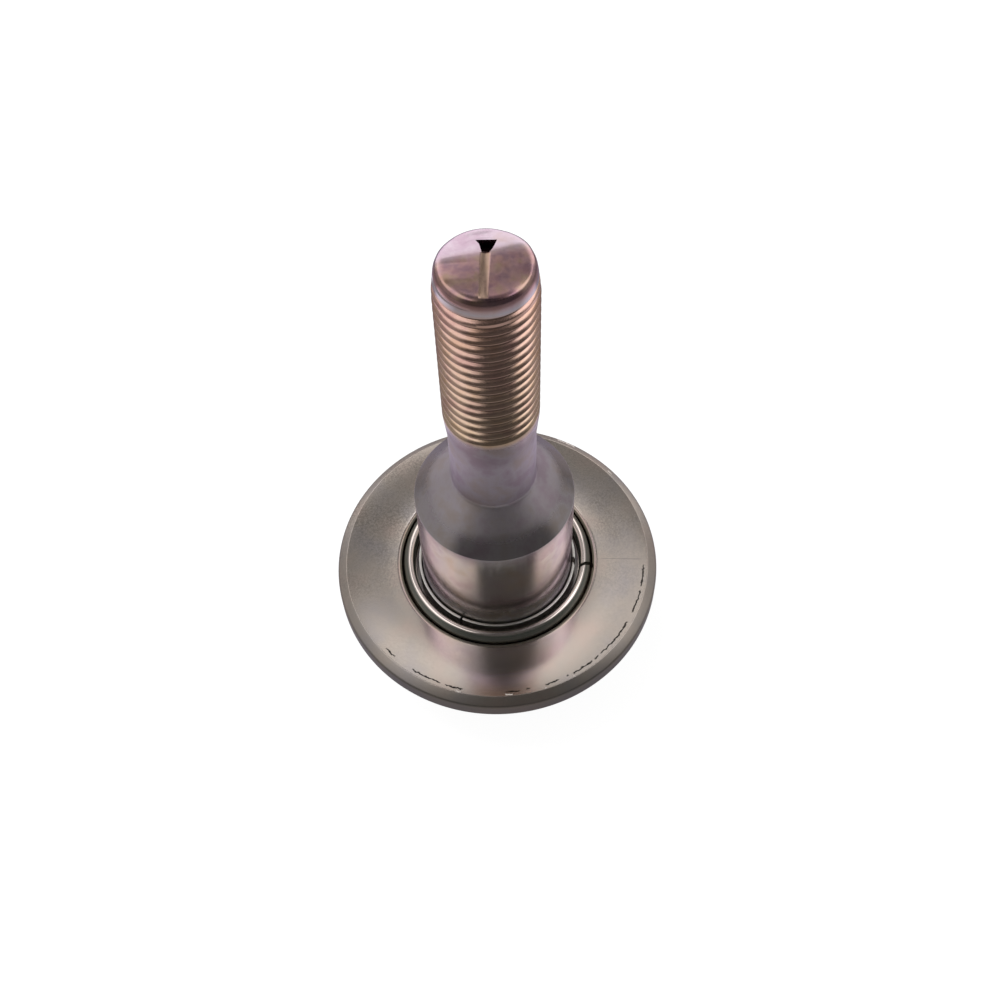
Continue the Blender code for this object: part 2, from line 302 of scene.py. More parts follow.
def hexagon_head():
    deselect()
    bpy.ops.mesh.primitive_cylinder_add(
        vertices=6, radius=HEAD_INNER_RADIUS / math.cos(math.pi / 6), depth=HEAD_HEIGHT,
        location=(0.0, 0.0, HEAD_HEIGHT / 2),
    )
    head = bpy.context.object
    bpy.ops.object.transform_apply(location=True)
    bm = edit(head)
    for edge in bm.edges:
        if abs(edge.verts[0].co.z - edge.verts[1].co.z) > HEAD_HEIGHT / 2:
            edge.select = True
    bmesh.update_edit_mesh(head.data)
    bpy.ops.mesh.bevel(offset=HEAD_CORNER_ROUND, segments=5, affect="EDGES")
    deselect()
    face = HEAD_END_FACE_SHARE * HEAD_INNER_RADIUS
    reach = HEAD_INNER_RADIUS / math.cos(math.pi / 6) + OVERRUN
    rise = (reach - face) * math.tan(HEAD_CHAMFER_ANGLE)
    envelope = turned(
        "head_envelope",
        [
            (0.0, HEAD_HEIGHT + OVERRUN, 0.0),
            (reach, HEAD_HEIGHT + OVERRUN, 0.0),
            (reach, rise, 0.0),
            (face, 0.0, HEAD_FACE_ROUND),
            (0.0, 0.0, 0.0),
        ],
    )
    combine(head, envelope, "INTERSECT")
    return head


def thread_groove():
    """The helical groove that the rolling dies press: round at its root, eased over the crests,
    and fading at both ends."""
    outer = THREAD_RADIUS + THREAD_LIFT
    mouth = THREAD_PITCH / 2 - THREAD_LIFT
    crest = mouth - THREAD_CREST_WIDTH
    crest_radius = outer - THREAD_CREST_WIDTH * math.tan(THREAD_CREST_SLOPE)
    root_radius = crest_radius - crest / math.tan(THREAD_FLANK_ANGLE)
    middle = THREAD_BOTTOM_Z + THREAD_PITCH / 2 - THREAD_DROP
    groove = draw_outline(
        "thread_groove",
        [
            (outer, middle - mouth, 0.0),
            (crest_radius, middle - crest, THREAD_CREST_REACH),
            (root_radius, middle, THREAD_ROOT_REACH),
            (crest_radius, middle + crest, THREAD_CREST_REACH),
            (outer, middle + mouth, 0.0),
        ],
        closed=True,
        segments=6,
    )
    apply_modifier(
        groove, "Wind", "SCREW", axis="Z", steps=THREAD_STEPS, render_steps=THREAD_STEPS,
        iterations=THREAD_TURNS, screw_offset=THREAD_PITCH, use_smooth_shade=True,
    )
    fade_groove_ends(groove, outer, middle)
    edit(groove)
    bpy.ops.mesh.select_all(action="SELECT")
    bpy.ops.mesh.fill_holes(sides=0)
    bpy.ops.mesh.normals_make_consistent(inside=False)
    deselect()
    groove.rotation_euler.z = THREAD_START_ANGLE
    activate(groove)
    bpy.ops.object.transform_apply(rotation=True)
    return groove


def fade_groove_ends(groove, outer, middle):
    """Lifts the groove out of the bolt over its first and last turns."""
    for vertex in groove.data.vertices:
        turned_by = math.atan2(vertex.co.y, vertex.co.x) % math.tau
        whole = round((vertex.co.z - middle) / THREAD_PITCH - turned_by / math.tau)
        turn = whole + turned_by / math.tau
        share = min(1.0, turn / THREAD_FADE_AT_NECK, (THREAD_END_TURN - turn) / THREAD_FADE_AT_TIP)
        radius = math.hypot(vertex.co.x, vertex.co.y)
        scale = (outer - (outer - radius) * max(THREAD_FAINTEST, share)) / radius
        vertex.co.x *= scale
        vertex.co.y *= scale


def tip_drop(radius):
    """How far the domed end lies below its middle: gently round, then ever steeper to the crease."""
    out = radius / TIP_CREASE_RADIUS
    return TIP_CREASE_DROP * ((1.0 - TIP_DOME_SHARE) * out ** 2 + TIP_DOME_SHARE * out ** TIP_DOME_POWER)


def tilt_tip(bolt):
    """Lets the rear of the domed end fall away behind a slanting line, as the punch left it, and
    its left side lean a little towards the front."""
    for vertex in bolt.data.vertices:
        across, deep = vertex.co.x / TIP_CREASE_RADIUS, vertex.co.y
        if vertex.co.z > TIP_Z - TIP_CREASE_DROP - MERGE:
            side = TIP_TILT_AT_LEFT if across < 0.0 else TIP_TILT_AT_RIGHT
            start = TIP_TILT_AT_MARK + (side - TIP_TILT_AT_MARK) * abs(across)
            beyond = max(0.0, deep - start)
            vertex.co.z -= TIP_TILT * min(TIP_TILT_REACH, beyond ** 2 / (beyond + TIP_TILT_EASE))
            lean = max(0.0, -across) * max(0.0, 1.0 - abs(deep) / TIP_LEFT_REACH)
            vertex.co.z -= TIP_LEFT_FALL * lean * (TIP_LEFT_REACH - deep) / 2


def turn_mark(obj):
    """Turns a cutter of the mark to the mark's bearing."""
    obj.rotation_euler.z = MARK_TURN
    activate(obj)
    bpy.ops.object.transform_apply(location=True, rotation=True, scale=True)


def mark_groove():
    """A shallow round-bottomed channel that follows the domed end."""
    deselect()
    rounding = (MARK_GROOVE_WIDTH ** 2 / 4 + MARK_GROOVE_DEPTH ** 2) / (2 * MARK_GROOVE_DEPTH)
    length = MARK_GROOVE_REACH + MARK_PIT_NEAR
    bpy.ops.mesh.primitive_cylinder_add(
        vertices=MARK_STEPS, radius=rounding, depth=length, rotation=(math.pi / 2, 0.0, 0.0),
        location=(0.0, (MARK_PIT_NEAR - MARK_GROOVE_REACH) / 2, TIP_Z + rounding - MARK_GROOVE_DEPTH),
    )
    groove = bpy.context.object
    bpy.ops.object.transform_apply(location=True, rotation=True)
    bm = edit(groove)
    for edge in bm.edges:
        edge.select = abs(edge.verts[0].co.y - edge.verts[1].co.y) > length / 2
    bmesh.update_edit_mesh(groove.data)
    bpy.ops.mesh.subdivide(number_cuts=MARK_GROOVE_CUTS)
    deselect()
    for vertex in groove.data.vertices:
        vertex.co.z -= tip_drop(abs(vertex.co.y))
    turn_mark(groove)
    return groove


def mark_pit():
    """A pit that widens to the rear, with a near side that slopes down from the channel's end."""
    middle = (MARK_PIT_FAR + MARK_PIT_NEAR) / 2
    deselect()
    bpy.ops.mesh.primitive_cube_add(size=1.0)
    pit = bpy.context.object
    pit.scale = (MARK_PIT_FAR_WIDTH, MARK_PIT_FAR - MARK_PIT_NEAR, 2 * MARK_PIT_DEPTH)
    pit.location = (0.0, middle, TIP_Z)
    bpy.ops.object.transform_apply(location=True, scale=True)
    edit(pit)
    select_vertices(pit, lambda co: co.y < middle)
    bpy.ops.transform.resize(
        value=(MARK_PIT_NEAR_WIDTH / MARK_PIT_FAR_WIDTH, 1.0, 1.0), center_override=(0.0, 0.0, TIP_Z)
    )
    select_vertices(pit, lambda co: co.y < middle and co.z < TIP_Z)
    bpy.ops.transform.translate(value=(0.0, MARK_PIT_SLOPE / 2, 0.0))
    select_vertices(pit, lambda co: co.y < middle and co.z > TIP_Z)
    bpy.ops.transform.translate(value=(0.0, -MARK_PIT_SLOPE / 2, 0.0))
    turn_mark(pit)
    return pit


def bolt_piece():
    ledge = NECK_RADIUS + SHOULDER_LEDGE
    cone_top = SHANK_TOP_Z + (SHANK_RADIUS - ledge) * math.tan(SHOULDER_ANGLE)
    dome = [TIP_CREASE_RADIUS * ring / TIP_DOME_RINGS for ring in range(TIP_DOME_RINGS + 1)]
    bolt = turned(
        "bolt_steel",
        [(radius, TIP_Z - tip_drop(radius), 0.0) for radius in dome] + [
            (TIP_BAND_RADIUS, TIP_Z - TIP_BAND_DROP, TIP_BAND_ROUND),
            (THREAD_RADIUS, TIP_Z - TIP_LEAD_DROP, RUN_OUT_ROUND),
            (THREAD_RADIUS, THREAD_BOTTOM_Z, RUN_OUT_ROUND),
            (NECK_RADIUS, THREAD_BOTTOM_Z - RUN_OUT_LENGTH, RUN_OUT_ROUND),
            (NECK_RADIUS, cone_top + SHOULDER_LEDGE, corner_reach(SHOULDER_FILLET, math.radians(135))),
            (ledge, cone_top, SHOULDER_EDGE_ROUND),
            (SHANK_RADIUS, SHANK_TOP_Z, SHANK_EDGE_ROUND),
            (SHANK_RADIUS, BEARING_Z, 0.0),
            (BEARING_FACE_RADIUS, BEARING_Z, BEARING_FACE_ROUND),
            (BEARING_FACE_RADIUS, HEAD_HEIGHT / 2, 0.0),
            (0.0, HEAD_HEIGHT / 2, 0.0),
        ],
    )
    tilt_tip(bolt)
    combine(bolt, hexagon_head(), "UNION")
    combine(bolt, thread_groove(), "DIFFERENCE")
    combine(bolt, mark_groove(), "DIFFERENCE")
    combine(bolt, mark_pit(), "DIFFERENCE")
    smooth(bolt, SMOOTH_ANGLE)
    return bolt


def disc_piece():
    disc = turned(
        "disc_steel",
        [
            (DISC_RADIUS - DISC_EDGE_WIDTH, DISC_TOP_Z, DISC_TOP_ROUND),
            (DISC_RADIUS, DISC_TOP_Z - DISC_EDGE_HEIGHT, DISC_CORNER_ROUND),
            (DISC_RADIUS, DISC_BOTTOM_Z, DISC_UNDER_ROUND),
            (DISC_BORE_RADIUS, DISC_BOTTOM_Z, 0.0),
            (DISC_BORE_RADIUS, RECESS_FLOOR_Z, 0.0),
            (RECESS_RADIUS, RECESS_FLOOR_Z, RECESS_FLOOR_ROUND),
            (RECESS_RADIUS, DISC_TOP_Z, RECESS_MOUTH_ROUND),
        ],
        closed=True,
        steps=RIM_STEPS,
    )
    smooth(disc, SMOOTH_ANGLE)
    mark_wear(disc)
    return disc


def bush_piece():
    """A rolled strip whose ends leave a narrow slot."""
    bush = turned(
        "bush_strip",
        [
            (BUSH_OUTER_RADIUS, BUSH_TOP_Z, BUSH_EDGE_ROUND),
            (BUSH_OUTER_RADIUS, DISC_BOTTOM_Z, 0.0),
            (BUSH_INNER_RADIUS, DISC_BOTTOM_Z, 0.0),
            (BUSH_INNER_RADIUS, BUSH_TOP_Z, BUSH_EDGE_ROUND),
        ],
        closed=True,
        steps=WIRE_STEPS,
    )
    deselect()
    bpy.ops.mesh.primitive_cube_add(size=1.0)
    slot = bpy.context.object
    wall = BUSH_OUTER_RADIUS - BUSH_INNER_RADIUS
    slot.scale = (wall + 2 * OVERRUN, BUSH_GAP, BUSH_TOP_Z - DISC_BOTTOM_Z + 2 * OVERRUN)
    slot.location = (BUSH_INNER_RADIUS + wall / 2, 0.0, (BUSH_TOP_Z + DISC_BOTTOM_Z) / 2)
    bpy.ops.object.transform_apply(location=True, scale=True)
    slot.rotation_euler.z = BUSH_GAP_ANGLE
    bpy.ops.object.transform_apply(rotation=True)
    combine(bush, slot, "DIFFERENCE")
    combine(bush, ring_gap_cutter(), "DIFFERENCE")
    smooth(bush, SMOOTH_ANGLE)
    return bush


def polar(place):
    radius, angle = place
    return Vector((radius * math.cos(angle), radius * math.sin(angle), 0.0))


def ring_gap_cutter():
    """A thin upright sheet bent to a V in plan, as the ring's two ends meet."""
    deselect()
    bpy.ops.mesh.primitive_plane_add(size=MM)
    sheet = bpy.context.object
    bpy.ops.object.mode_set(mode="EDIT")
    bpy.ops.mesh.select_all(action="SELECT")
    bpy.ops.mesh.merge(type="CENTER")
    inner, tip, outer = polar(RING_GAP_INNER), polar(RING_GAP_TIP), polar(RING_GAP_OUTER)
    height = Vector((0.0, 0.0, 2 * (RING_TOP_Z - RING_BOTTOM_Z)))
    bpy.ops.transform.translate(value=inner + Vector((0.0, 0.0, RING_Z)) - height / 2)
    bpy.ops.mesh.extrude_vertices_move(TRANSFORM_OT_translate={"value": tip - inner})
    bpy.ops.mesh.extrude_vertices_move(TRANSFORM_OT_translate={"value": outer - tip})
    bpy.ops.mesh.select_all(action="SELECT")
    bpy.ops.mesh.extrude_edges_move(TRANSFORM_OT_translate={"value": height})
    deselect()
    apply_modifier(sheet, "Thickness", "SOLIDIFY", thickness=RING_GAP, offset=0.0)
    face_outwards(sheet)
    return sheet


def ring_piece():
    """A split ring, narrow and nearly flat on top, with a long sloping outer side."""
    ring = turned(
        "lock_ring_wire",
        [
            (RING_INNER_RADIUS, RING_BOTTOM_Z + RING_FOOT, RING_SIDE_ROUND),
            (RING_INNER_RADIUS, RING_TOP_Z - RING_INNER_DROP, RING_INNER_ROUND),
            (RING_CREST_RADIUS, RING_TOP_Z, RING_ROUND),
            (RING_SHOULDER_RADIUS, RING_TOP_Z - RING_SHOULDER_DROP, RING_ROUND),
            (RING_OUTER_RADIUS, RING_Z - RING_SIDE_DROP, RING_SIDE_ROUND),
            (RING_OUTER_RADIUS - RING_FOOT_INSET, RING_BOTTOM_Z + RING_FOOT, RING_ROUND),
        ],
        closed=True,
        steps=WIRE_STEPS,
    )
    combine(ring, ring_gap_cutter(), "DIFFERENCE")
    smooth(ring, RING_SMOOTH_ANGLE)
    return ring


def colour(code):
    """An sRGB hex colour as the linear one that Blender works in."""
    values = [int(code[i:i + 2], 16) / 255 for i in (0, 2, 4)]
    linear = [v / 12.92 if v <= 0.04045 else ((v + 0.055) / 1.055) ** 2.4 for v in values]
    return (*linear, 1.0)


def add(tree, kind, inputs=None, stops=None, **settings):
    """A node with its settings, its values and links by socket, and a ramp's colour stops."""
    node = tree.nodes.new("ShaderNode" + kind)
    for key, value in settings.items():
        setattr(node, key, value)
    for key, value in (inputs or {}).items():
        if isinstance(value, bpy.types.NodeSocket):
            tree.links.new(value, node.inputs[key])
        else:
            node.inputs[key].default_value = value
    if stops:
        elements = node.color_ramp.elements
        while len(elements) < len(stops):
            elements.new(1.0)
        for element, (position, value) in zip(elements, stops):
            element.position = position
            element.color = colour(value)
    return node


def soft_window(tree, value, low, high, softness):
    """1 between low and high, falling to 0 over softness on either side."""
    rise = add(
        tree, "MapRange", {0: value, 1: low - softness / 2, 2: low + softness / 2},
        interpolation_type="SMOOTHSTEP",
    )
    fall = add(
        tree, "MapRange", {0: value, 1: high - softness / 2, 2: high + softness / 2, 3: 1.0, 4: 0.0},
        interpolation_type="SMOOTHSTEP",
    )
    return add(tree, "Math", {0: rise.outputs[0], 1: fall.outputs[0]}, operation="MULTIPLY").outputs[0]


def from_axis(tree, place):
    """How far a place is from the upright axis."""
    flat = add(tree, "VectorMath", {0: place, 1: (1.0, 1.0, 0.0)}, operation="MULTIPLY").outputs[0]
    return add(tree, "VectorMath", {0: flat}, operation="LENGTH").outputs["Value"]


def bearing_of(tree, place):
    """Degrees round the upright axis, from +X towards +Y."""
    parts = add(tree, "SeparateXYZ", {0: place})
    turn = add(tree, "Math", {0: parts.outputs["Y"], 1: parts.outputs["X"]}, operation="ARCTAN2")
    return add(tree, "Math", {0: turn.outputs[0]}, operation="DEGREES").outputs[0]


def metal(name, roughness, edge):
    """A metal with its edge tint, and its node tree for the rest."""
    material = bpy.data.materials.new(name)
    material.use_nodes = True
    tree = material.node_tree
    shader = tree.nodes["Principled BSDF"]
    shader.inputs["Metallic"].default_value = 1.0
    shader.inputs["Roughness"].default_value = roughness
    shader.inputs["Specular Tint"].default_value = colour(edge)
    return material, tree, shader


def passivated_bolt():
    """Zinc plating with an iridescent passivated skin: tan on the rolled thread, mauve-grey on the
    turned steel, satin at the neck where the tool left fine feed marks, and cloudy in patches."""
    material, tree, shader = metal("passivated_zinc_bolt", 0.2, "E6DCF0")
    place = add(tree, "TexCoord").outputs["Object"]
    parts = add(tree, "SeparateXYZ", {0: place})
    along = add(tree, "Math", {0: parts.outputs["Z"], 1: TIP_Z}, operation="DIVIDE").outputs[0]
    zones = add(
        tree, "ValToRGB", {0: along},
        stops=[
            (0.0, "C9C3BE"),
            # Painted shade: the shank is darker just above the bush, lightening over 2 mm.
            (BUSH_TOP_Z / TIP_Z, "C0BEBC"),
            ((BUSH_TOP_Z + 2.0 * MM) / TIP_Z, "D2CECA"),
            (SHANK_TOP_Z / TIP_Z - 0.02, "DAD5D0"),
            (SHANK_TOP_Z / TIP_Z + 0.004, "BDB4B6"),
            (0.50, "BFB5BC"),
            (0.58, "CFC4CE"),
            ((THREAD_BOTTOM_Z - THREAD_DROP) / TIP_Z + 0.005, "C6BAC0"),
            ((THREAD_BOTTOM_Z - THREAD_DROP) / TIP_Z + 0.016, "D8BCA4"),
            ((TIP_Z - 2.8 * MM) / TIP_Z, "DEB6A8"),
            ((TIP_Z - 2.2 * MM) / TIP_Z, "D8D0DC"),
            ((TIP_Z - TIP_CREASE_DROP) / TIP_Z, "D0A6A8"),
        ],
    )
    turned_place = add(
        tree, "VectorRotate", {"Vector": place, "Angle": -MARK_TURN}, rotation_type="Z_AXIS"
    ).outputs[0]
    spot = add(tree, "SeparateXYZ", {0: turned_place})
    beside = soft_window(tree, spot.outputs["X"], -0.5 * MM, 0.5 * MM, 0.35 * MM)
    beyond = soft_window(tree, spot.outputs["Y"], -MARK_GROOVE_REACH, MARK_PIT_NEAR, 0.3 * MM)
    high = add(tree, "Math", {0: spot.outputs["Z"], 1: TIP_Z - 0.9 * MM}, operation="GREATER_THAN").outputs[0]
    channel = add(tree, "Math", {0: beside, 1: beyond}, operation="MULTIPLY").outputs[0]
    channel_mask = add(tree, "Math", {0: channel, 1: high}, operation="MULTIPLY").outputs[0]
    aside = add(
        tree, "Math", {0: spot.outputs["X"], 1: -0.25, 2: spot.outputs["Y"]}, operation="MULTIPLY_ADD"
    ).outputs[0]
    rear = add(
        tree, "MapRange", {0: aside, 1: 0.2 * MM, 2: 2.2 * MM}, interpolation_type="SMOOTHSTEP"
    ).outputs[0]
    rear_painted_highlight = add(tree, "Math", {0: rear, 1: high}, operation="MULTIPLY").outputs[0]
    mottle = add(tree, "TexNoise", {"Vector": place, "Scale": 1 / (1.6 * MM), "Detail": 3.0})
    stained = add(
        tree, "ValToRGB", {0: mottle.outputs["Fac"]},
        stops=[(0.35, "BC98A0"), (0.5, "D2A9A8"), (0.65, "D0AE9E")],
    )
    # Painted shade: the domed end's colour darkens towards its front.
    front_painted_shade = add(tree, "MapRange", {0: spot.outputs["Y"], 1: -5 * MM, 2: 0.0, 3: 0.7, 4: 1.0}).outputs[0]
    shaded = add(
        tree, "Mix", {0: 1.0, 6: stained.outputs[0], 7: front_painted_shade}, data_type="RGBA", blend_type="MULTIPLY"
    )
    front = add(tree, "Mix", {0: high, 6: zones.outputs[0], 7: shaded.outputs[2]}, data_type="RGBA")
    # Painted highlight: the rear of the domed end, behind a slanting line, is painted pale lilac.
    face = add(tree, "Mix", {0: rear_painted_highlight, 6: front.outputs[2], 7: colour("DCC8D4")}, data_type="RGBA")
    # The channel pressed into the end is coloured a paler tan.
    channel_tan = add(tree, "Mix", {0: channel_mask, 6: face.outputs[2], 7: colour("BEA08E")}, data_type="RGBA")
    clouds = add(tree, "TexNoise", {"Vector": place, "Scale": 1 / (4 * MM), "Detail": 4.0, "Roughness": 0.6})
    tint = add(
        tree, "ValToRGB", {0: clouds.outputs["Fac"]},
        stops=[(0.35, "E6D2DE"), (0.5, "FFFFFF"), (0.65, "F2E8D6")],
    )
    base = add(
        tree, "Mix", {0: 0.6, 6: channel_tan.outputs[2], 7: tint.outputs[0]}, data_type="RGBA", blend_type="MULTIPLY"
    )
    radius = from_axis(tree, place)
    # Painted shade: inside the pit the colour turns a deep brown.
    near = add(tree, "Math", {0: radius, 1: MARK_PIT_FAR + 0.4 * MM}, operation="LESS_THAN").outputs[0]
    sunk = add(
        tree, "MapRange", {0: parts.outputs["Z"], 1: TIP_Z - 1.1 * MM, 2: TIP_Z - 0.25 * MM, 3: 1.0, 4: 0.0}
    )
    pit = add(tree, "Math", {0: near, 1: sunk.outputs[0]}, operation="MULTIPLY").outputs[0]
    pit_painted_shade = add(tree, "Mix", {0: pit, 6: base.outputs[2], 7: colour("3A2024")}, data_type="RGBA")
    tree.links.new(pit_painted_shade.outputs[2], shader.inputs["Base Color"])
    neck = soft_window(tree, parts.outputs["Z"], SHANK_TOP_Z + 2 * MM, THREAD_BOTTOM_Z - 1.2 * MM, 2 * MM)
    tip = soft_window(tree, parts.outputs["Z"], TIP_Z - 1.3 * MM, TIP_Z + MM, 0.4 * MM)
    thread = soft_window(tree, parts.outputs["Z"], THREAD_BOTTOM_Z - THREAD_DROP, TIP_Z - 2.5 * MM, 0.4 * MM)
    foot = soft_window(tree, parts.outputs["Z"], 0.0, BUSH_TOP_Z + 3 * MM, 3 * MM)
    matt = add(tree, "Math", {0: foot, 1: 0.7, 2: neck}, operation="MULTIPLY_ADD").outputs[0]
    ends = add(tree, "Math", {0: tip, 1: 0.15, 2: matt}, operation="MULTIPLY_ADD").outputs[0]
    satin = add(tree, "Math", {0: thread, 1: 0.2, 2: ends}, operation="MULTIPLY_ADD").outputs[0]
    grain = add(tree, "TexNoise", {"Vector": place, "Scale": 1 / (0.8 * MM), "Detail": 3.0})
    stretch = (1 / (0.5 * MM), 1 / (0.5 * MM), 1 / (7 * MM))
    streaked = add(tree, "VectorMath", {0: place, 1: stretch}, operation="MULTIPLY")
    streaks = add(tree, "TexNoise", {"Vector": streaked.outputs[0], "Scale": 1.0, "Detail": 2.0})
    rough = add(tree, "MapRange", {0: streaks.outputs["Fac"], 1: 0.3, 2: 0.7, 3: 0.16, 4: 0.21})
    whole = add(tree, "Math", {0: satin, 1: 0.28, 2: rough.outputs[0]}, operation="MULTIPLY_ADD")
    tree.links.new(whole.outputs[0], shader.inputs["Roughness"])
    bump = add(tree, "Bump", {"Height": grain.outputs["Fac"], "Strength": 0.05, "Distance": 0.02 * MM})
    tree.links.new(bump.outputs[0], shader.inputs["Normal"])
    return material


def mark_wear(disc):
    """Writes 1 into an attribute where the front rim was knocked, read from its bearing."""
    layer = disc.data.attributes.new("knocked", "FLOAT", "POINT")
    for vertex in disc.data.vertices:
        bearing = math.degrees(math.atan2(vertex.co.y, vertex.co.x))
        layer.data[vertex.index].value = float(any(low <= bearing <= high for low, high in RIM_KNOCKS))


def passivated_disc():
    """Zinc plating over a blanked and turned plate: beige and satin, with the fine sparkle of its grain where
    the bath took less well, knocked dark along the rim, and with painted shade in its recess, on the rim's side
    and on the bevel's upper edge."""
    material, tree, shader = metal("passivated_zinc_disc", 0.15, "EDE6F2")
    place = add(tree, "TexCoord").outputs["Object"]
    parts = add(tree, "SeparateXYZ", {0: place})
    radius = from_axis(tree, place)
    clouds = add(tree, "TexNoise", {"Vector": place, "Scale": 1 / (7 * MM), "Detail": 3.0})
    base = add(
        tree, "ValToRGB", {0: clouds.outputs["Fac"]},
        stops=[(0.3, "D2C8C4"), (0.5, "DCCFC4"), (0.7, "E4D0C4")],
    )
    speckle = add(
        tree, "TexNoise", {"Vector": place, "Scale": 1 / (0.3 * MM), "Detail": 3.0, "Roughness": 0.7}
    )
    patches = add(tree, "TexNoise", {"Vector": place, "Scale": 1 / (9 * MM), "Detail": 2.0})
    away = add(tree, "Math", {0: parts.outputs["X"]}, operation="ABSOLUTE").outputs[0]
    rearward = add(tree, "Math", {0: away, 1: 0.25, 2: parts.outputs["Y"]}, operation="MULTIPLY_ADD").outputs[0]
    where = add(tree, "MapRange", {0: rearward, 1: -4 * MM, 2: 8 * MM, 3: 0.12, 4: 0.75})
    patched = add(tree, "MapRange", {0: patches.outputs["Fac"], 1: 0.4, 2: 0.6, 3: 0.3, 4: 1.0})
    amount = add(tree, "Math", {0: where.outputs[0], 1: patched.outputs[0]}, operation="MULTIPLY")
    grain = add(tree, "MapRange", {0: speckle.outputs["Fac"], 1: 0.38, 2: 0.62, 3: 0.55, 4: 1.05})
    mixed = add(
        tree, "Mix", {0: amount.outputs[0], 6: base.outputs[0], 7: grain.outputs[0]},
        data_type="RGBA", blend_type="MULTIPLY",
    )
    # Painted shade: inside the recess the colour darkens towards its floor.
    recess_painted_shade = add(
        tree, "MapRange",
        {0: parts.outputs["Z"], 1: RECESS_FLOOR_Z, 2: DISC_TOP_Z - 0.2 * MM, 3: 0.75, 4: 1.0},
    )
    inside = add(tree, "Math", {0: radius, 1: RECESS_RADIUS + 0.05 * MM}, operation="LESS_THAN").outputs[0]
    recess = add(tree, "Mix", {0: inside, 2: 1.0, 3: recess_painted_shade.outputs[0]}, data_type="FLOAT").outputs[0]
    edge = DISC_RADIUS - DISC_EDGE_WIDTH
    # Painted shade: the bevel's upper edge and the rim's side are darkened.
    bevel = add(
        tree, "MapRange", {0: radius, 1: edge - 0.12 * MM, 2: edge - 0.04 * MM, 3: 1.0, 4: BEVEL_SHADE}
    )
    rim = add(
        tree, "MapRange",
        {0: radius, 1: DISC_RADIUS - 0.3 * MM, 2: DISC_RADIUS - 0.1 * MM, 3: 1.0, 4: RIM_SHADE},
    )
    outer = add(tree, "Math", {0: bevel.outputs[0], 1: rim.outputs[0]}, operation="MULTIPLY").outputs[0]
    dark = add(tree, "Math", {0: recess, 1: outer}, operation="MULTIPLY").outputs[0]
    ragged = add(tree, "TexNoise", {"Vector": place, "Scale": 1 / (0.5 * MM), "Detail": 3.0})
    wander = add(tree, "MapRange", {0: ragged.outputs["Fac"], 1: 0.3, 2: 0.7, 3: -0.12 * MM, 4: 0.12 * MM})
    moved = add(tree, "Math", {0: radius, 1: wander.outputs[0]}, operation="ADD").outputs[0]
    line = soft_window(tree, moved, KNOCK_RADIUS - 0.1 * MM, KNOCK_RADIUS + 0.1 * MM, 0.06 * MM)
    knocked = add(tree, "Attribute", attribute_name="knocked").outputs["Fac"]
    knock = add(tree, "Math", {0: line, 1: knocked}, operation="MULTIPLY").outputs[0]
    left = add(tree, "Mix", {0: knock, 2: dark, 3: 0.06}, data_type="FLOAT").outputs[0]
    bearing = bearing_of(tree, place)
    beside = soft_window(tree, bearing, SCRATCH_BEARING - 0.15, SCRATCH_BEARING + 0.15, 0.2)
    along = soft_window(tree, radius, SCRATCH_FROM, SCRATCH_TO, MM)
    scratch = add(tree, "Math", {0: beside, 1: along}, operation="MULTIPLY").outputs[0]
    scored = add(tree, "Math", {0: scratch, 1: -SCRATCH_DEPTH, 2: left}, operation="MULTIPLY_ADD").outputs[0]
    final = add(
        tree, "Mix", {0: 1.0, 6: mixed.outputs[2], 7: scored}, data_type="RGBA", blend_type="MULTIPLY"
    )
    # The nicks are wear on the rim, painted near white as a glint.
    nicked = 0.0
    for low, high, middle in RIM_NICKS:
        within = soft_window(tree, bearing, low, high, 0.3)
        across = soft_window(tree, moved, middle - 0.1 * MM, middle + 0.1 * MM, 0.06 * MM)
        nick = add(tree, "Math", {0: within, 1: across}, operation="MULTIPLY").outputs[0]
        nicked = add(tree, "Math", {0: nick, 1: nicked}, operation="MAXIMUM").outputs[0]
    nick_glint = add(tree, "Mix", {0: nicked, 6: final.outputs[2], 7: colour("FFF6EE")}, data_type="RGBA")
    tree.links.new(nick_glint.outputs[2], shader.inputs["Base Color"])
    dull = add(tree, "MapRange", {0: radius, 1: edge - 0.12 * MM, 2: edge, 3: 0.15, 4: 0.34}).outputs[0]
    rough = add(tree, "Mix", {0: nicked, 2: dull, 3: 0.6}, data_type="FLOAT").outputs[0]
    tree.links.new(rough, shader.inputs["Roughness"])
    bump = add(
        tree, "Bump",
        {"Height": speckle.outputs["Fac"], "Strength": amount.outputs[0], "Distance": 0.003 * MM},
    )
    tree.links.new(bump.outputs[0], shader.inputs["Normal"])
    return material


def bright_strip():
    """Spring strip with a thin bright plating, which keeps clean edges."""
    material, tree, shader = metal("bright_spring_strip", 0.36, "FFFFFF")
    shader.inputs["Base Color"].default_value = colour("E8E4DE")
    return material


